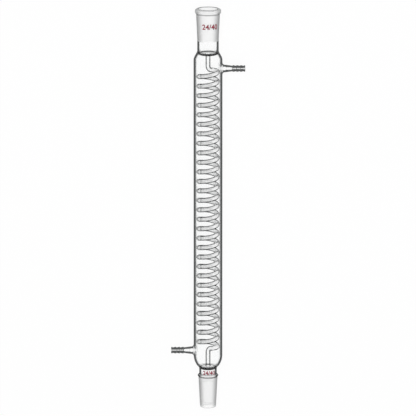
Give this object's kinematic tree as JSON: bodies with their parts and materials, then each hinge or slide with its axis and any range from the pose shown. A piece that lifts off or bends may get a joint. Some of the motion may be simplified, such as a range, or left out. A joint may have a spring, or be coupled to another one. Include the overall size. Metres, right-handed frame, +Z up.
{
  "type": "coil condenser",
  "caption": "Glass coil condenser: a straight water jacket around a coiled vapour tube, with tapered ground joints at its ends and serrated hose connections.",
  "frame": {"origin": "on the surface the condenser lies on, under the middle of its length", "axes": "+Y along the condenser's axis towards the outer joint (its upper end in use), +X towards the upper hose connection, +Z up"},
  "size_m": [0.0928, 0.5102, 0.036],
  "materials": {
    "clear_glass": "clear, fire-polished borosilicate glass",
    "ground_glass": "finely ground on the taper, clear elsewhere",
    "red_print": "fired red marking"
  },
  "bodies": {
    "root": {"outer_joint": "ground_glass", "inner_joint": "ground_glass", "jacket": "clear_glass", "coil": "clear_glass", "upper_hose_connection": "clear_glass", "lower_hose_connection": "clear_glass"}
  },
  "joints": []
}
